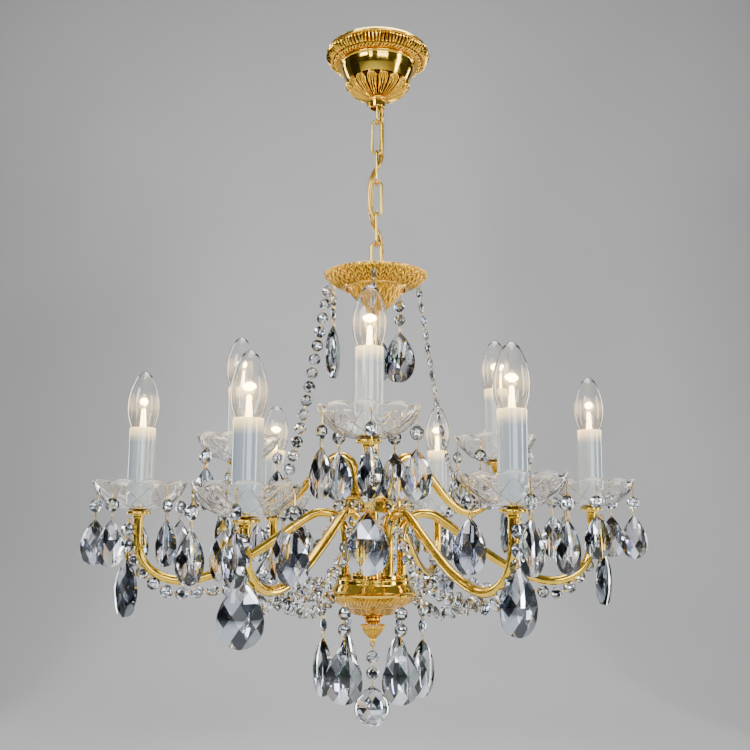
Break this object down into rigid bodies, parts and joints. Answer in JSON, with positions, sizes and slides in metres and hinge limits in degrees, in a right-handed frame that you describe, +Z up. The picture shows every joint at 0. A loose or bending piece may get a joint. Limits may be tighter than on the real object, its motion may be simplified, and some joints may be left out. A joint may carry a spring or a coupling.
{
  "type": "multi arm chandelier",
  "caption": "Two-tier candle arm chandelier in polished brass and cut crystal with glass drip dishes, hung on a chain from a ceiling canopy.",
  "frame": {"origin": "centre of the face that meets the ceiling, on the bracket's top", "axes": "+Z up into the ceiling; -Y towards the front candle of the upper tier; +X to the right of it"},
  "size_m": [0.5959, 0.5576, 0.771],
  "materials": {
    "polished_brass": "polished and lacquered",
    "cast_brass": "cast, gilt relief",
    "zinc_steel": "zinc plated",
    "crystal": "clear cut lead crystal",
    "bulb_glass": "clear blown glass",
    "candle_plastic": "glossy white",
    "cable_sheath": "gold transparent sheath",
    "terminal_plastic": "moulded"
  },
  "bodies": {
    "root": {"ceiling_bracket": "zinc_steel", "ceiling_hook": "zinc_steel", "terminal_block": "terminal_plastic", "chain_link_1": "polished_brass", "chain_link_2": "polished_brass", "chain_link_3": "polished_brass", "chain_link_4": "polished_brass"},
    "canopy": {"canopy_ring": "cast_brass", "canopy_cup": "polished_brass", "canopy_leaf_cap": "cast_brass", "canopy_collar": "polished_brass", "clamp_screw": "polished_brass"},
    "swing_link": {"chain_link_5": "polished_brass"},
    "hanging": {"chain_link_6": "polished_brass", "supply_cable": "cable_sheath", "crown_loop": "polished_brass", "crown_dish": "cast_brass", "crown_cup": "cast_brass", "stem": "polished_brass", "upper_drum": "polished_brass", "base_drum": "polished_brass", "base_bowl": "cast_brass", "finial": "cast_brass", "lower_arm_1": "polished_brass", "lower_dish_1": "crystal", "lower_candle_1": "candle_plastic", "lower_arm_2": "polished_brass", "lower_dish_2": "crystal", "lower_candle_2": "candle_plastic", "lower_arm_3": "polished_brass", "lower_dish_3": "crystal", "lower_candle_3": "candle_plastic", "lower_arm_4": "polished_brass", "lower_dish_4": "crystal", "lower_candle_4": "candle_plastic", "lower_arm_5": "polished_brass", "lower_dish_5": "crystal", "lower_candle_5": "candle_plastic", "lower_arm_6": "polished_brass", "lower_dish_6": "crystal", "lower_candle_6": "candle_plastic", "upper_arm_1": "polished_brass", "upper_dish_1": "crystal", "upper_candle_1": "candle_plastic", "upper_arm_2": "polished_brass", "upper_dish_2": "crystal", "upper_candle_2": "candle_plastic", "upper_arm_3": "polished_brass", "upper_dish_3": "crystal", "upper_candle_3": "candle_plastic"},
    "lower_bulb_1": {"lower_bulb_1": "bulb_glass"},
    "lower_bulb_2": {"lower_bulb_2": "bulb_glass"},
    "lower_bulb_3": {"lower_bulb_3": "bulb_glass"},
    "lower_bulb_4": {"lower_bulb_4": "bulb_glass"},
    "lower_bulb_5": {"lower_bulb_5": "bulb_glass"},
    "lower_bulb_6": {"lower_bulb_6": "bulb_glass"},
    "upper_bulb_1": {"upper_bulb_1": "bulb_glass"},
    "upper_bulb_2": {"upper_bulb_2": "bulb_glass"},
    "upper_bulb_3": {"upper_bulb_3": "bulb_glass"},
    "drop_ball": {"drop_ball": "crystal"}
  },
  "joints": [
    {"name": "canopy_slide", "type": "slide", "parent": "root", "child": "canopy", "axis": [0, 0, 1], "range_m": [-0.12, 0]},
    {"name": "swing_front", "type": "hinge", "parent": "root", "child": "swing_link", "pos_m": [0, 0, -0.20305], "axis": [1, 0, 0], "range_deg": [-12, 12], "deforming": ["supply_cable"]},
    {"name": "swing_side", "type": "hinge", "parent": "swing_link", "child": "hanging", "pos_m": [0, 0, -0.24035], "axis": [0, 1, 0], "range_deg": [-12, 12]},
    {"name": "lower_bulb_1_turn", "type": "hinge", "parent": "hanging", "child": "lower_bulb_1", "pos_m": [0.1226, -0.21783, -0.5465], "axis": [0, 0, 1], "range_deg": [0, 1080]},
    {"name": "lower_bulb_2_turn", "type": "hinge", "parent": "hanging", "child": "lower_bulb_2", "pos_m": [0.24785, 0.03156, -0.5395], "axis": [0, 0, 1], "range_deg": [0, 1080]},
    {"name": "lower_bulb_3_turn", "type": "hinge", "parent": "hanging", "child": "lower_bulb_3", "pos_m": [0.08585, 0.23444, -0.5495], "axis": [0, 0, 1], "range_deg": [0, 1080]},
    {"name": "lower_bulb_4_turn", "type": "hinge", "parent": "hanging", "child": "lower_bulb_4", "pos_m": [-0.13248, 0.21201, -0.5525], "axis": [0, 0, 1], "range_deg": [0, 1080]},
    {"name": "lower_bulb_5_turn", "type": "hinge", "parent": "hanging", "child": "lower_bulb_5", "pos_m": [-0.2489, -0.04344, -0.549], "axis": [0, 0, 1], "range_deg": [0, 1080]},
    {"name": "lower_bulb_6_turn", "type": "hinge", "parent": "hanging", "child": "lower_bulb_6", "pos_m": [-0.11159, -0.2237, -0.5575], "axis": [0, 0, 1], "range_deg": [0, 1080]},
    {"name": "upper_bulb_1_turn", "type": "hinge", "parent": "hanging", "child": "upper_bulb_1", "pos_m": [-0.00544, -0.16791, -0.482], "axis": [0, 0, 1], "range_deg": [0, 1080]},
    {"name": "upper_bulb_2_turn", "type": "hinge", "parent": "hanging", "child": "upper_bulb_2", "pos_m": [0.14735, 0.09059, -0.485], "axis": [0, 0, 1], "range_deg": [0, 1080]},
    {"name": "upper_bulb_3_turn", "type": "hinge", "parent": "hanging", "child": "upper_bulb_3", "pos_m": [-0.16051, 0.06055, -0.4895], "axis": [0, 0, 1], "range_deg": [0, 1080]},
    {"name": "drop_swing", "type": "hinge", "parent": "hanging", "child": "drop_ball", "pos_m": [0, 0, -0.6884], "axis": [1, 0, 0], "range_deg": [-12, 12]}
  ]
}
